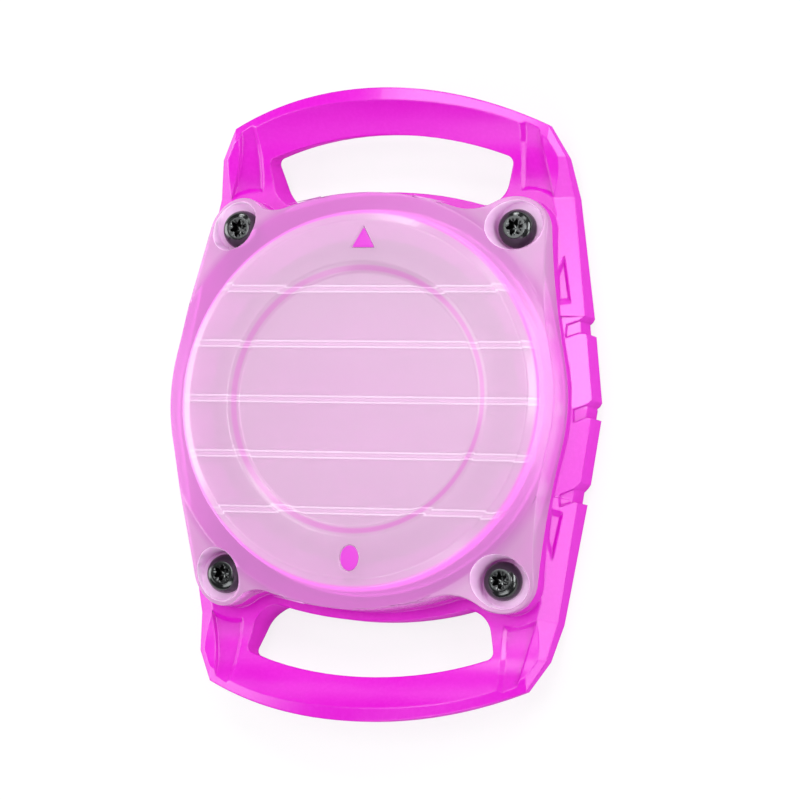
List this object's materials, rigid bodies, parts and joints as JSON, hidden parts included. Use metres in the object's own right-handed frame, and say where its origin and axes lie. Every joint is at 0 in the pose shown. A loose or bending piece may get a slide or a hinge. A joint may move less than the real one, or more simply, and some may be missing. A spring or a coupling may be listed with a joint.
{
  "type": "tracker tag holder",
  "caption": "Watch-style case for a coin-shaped tracker tag: moulded base with a strap loop at each end, notched flanks, and a frosted clear lid screwed on over a sealing ring.",
  "frame": {"origin": "middle of the flat outer face that the case lies on", "axes": "+Z out of the lid, +Y towards the loop at the triangle mark, +X to the right when seen from the lid side"},
  "size_m": [0.0446, 0.0642, 0.0115],
  "materials": {
    "base_plastic": "magenta, fine moulded grain",
    "lid_plastic": "frosted translucent, glossy edges",
    "seal_rubber": "satin pale silicone",
    "screw_steel": "black oxide",
    "insert_brass": "turned brass"
  },
  "bodies": {
    "base": {"base": "base_plastic", "seal_ring": "seal_rubber", "insert_top_left": "insert_brass", "insert_top_right": "insert_brass", "insert_bottom_left": "insert_brass", "insert_bottom_right": "insert_brass"},
    "lid": {"lid": "lid_plastic"},
    "screw_top_left": {"screw_top_left": "screw_steel"},
    "screw_top_right": {"screw_top_right": "screw_steel"},
    "screw_bottom_left": {"screw_bottom_left": "screw_steel"},
    "screw_bottom_right": {"screw_bottom_right": "screw_steel"}
  },
  "joints": [
    {"name": "lid_lift", "type": "slide", "parent": "base", "child": "lid", "axis": [0, 0, 1], "range_m": [0, 0.02]},
    {"name": "screw_top_left_out", "type": "slide", "parent": "lid", "child": "screw_top_left", "axis": [0, 0, 1], "range_m": [0, 0.008]},
    {"name": "screw_top_right_out", "type": "slide", "parent": "lid", "child": "screw_top_right", "axis": [0, 0, 1], "range_m": [0, 0.008]},
    {"name": "screw_bottom_left_out", "type": "slide", "parent": "lid", "child": "screw_bottom_left", "axis": [0, 0, 1], "range_m": [0, 0.008]},
    {"name": "screw_bottom_right_out", "type": "slide", "parent": "lid", "child": "screw_bottom_right", "axis": [0, 0, 1], "range_m": [0, 0.008]}
  ]
}
